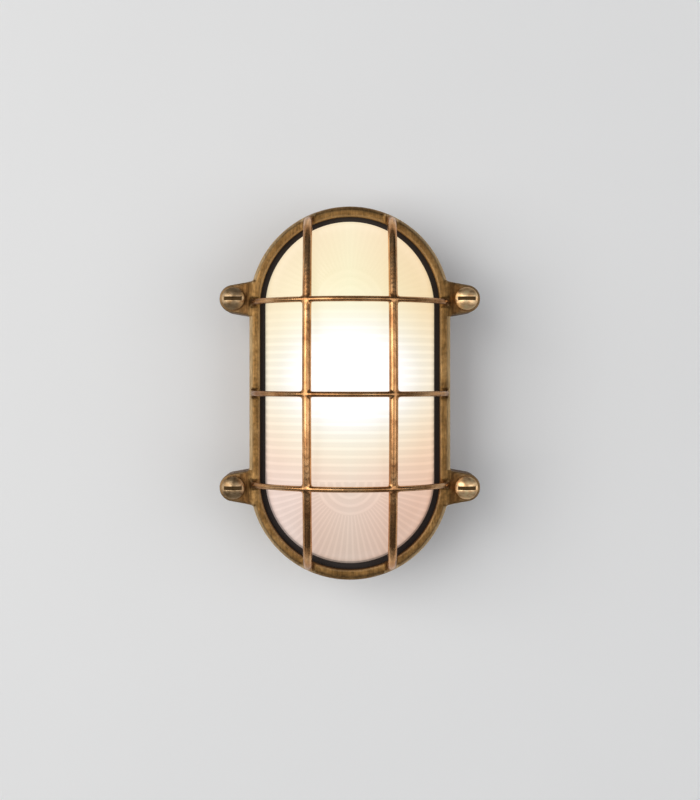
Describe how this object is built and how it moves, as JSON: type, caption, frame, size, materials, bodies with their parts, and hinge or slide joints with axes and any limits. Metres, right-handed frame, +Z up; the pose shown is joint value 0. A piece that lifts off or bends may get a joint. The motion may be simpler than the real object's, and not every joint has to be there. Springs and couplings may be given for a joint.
{
  "type": "bulkhead light",
  "caption": "Oval cast-brass bulkhead wall light with a barred guard over a ribbed frosted glass dome, screw-lamp holder and rear cable entry.",
  "frame": {"origin": "centre of the flat back of the wall box, on the wall", "axes": "+Z up the wall along the oval, +X across it to the right as seen from the front, -Y out of the wall towards the viewer"},
  "size_m": [0.1678, 0.11, 0.24],
  "materials": {
    "cast_brass": "cast, darkened antique patina",
    "turned_brass": "turned, lightly aged",
    "pressed_glass": "frosted, pressed ribs",
    "gasket_rubber": "matte black",
    "lamp_glass": "frosted, lit",
    "porcelain": "glazed",
    "zinc_steel": "zinc plated",
    "block_plastic": "moulded",
    "live_sleeve": "sleeved wire",
    "neutral_sleeve": "sleeved wire",
    "earth_sleeve": "sleeved wire"
  },
  "bodies": {
    "root": {"box_casting": "cast_brass", "guard_casting": "cast_brass", "glass_dome": "pressed_glass", "glass_gasket": "gasket_rubber", "guard_screws": "turned_brass", "lamp": "lamp_glass", "holder_body": "porcelain", "holder_shell": "turned_brass", "centre_contact": "turned_brass", "holder_posts": "turned_brass", "post_screws": "zinc_steel", "holder_bracket": "zinc_steel", "holder_screws": "zinc_steel", "bracket_screws": "zinc_steel", "bracket_washers": "zinc_steel", "terminal_block": "block_plastic", "terminal_tubes": "turned_brass", "clamp_screws": "zinc_steel", "block_screws": "zinc_steel", "earth_screw": "turned_brass", "earth_washer": "zinc_steel", "earth_tag": "zinc_steel", "live_wire": "live_sleeve", "neutral_wire": "neutral_sleeve", "earth_wire": "earth_sleeve", "cable_grommet": "gasket_rubber"}
  },
  "joints": []
}
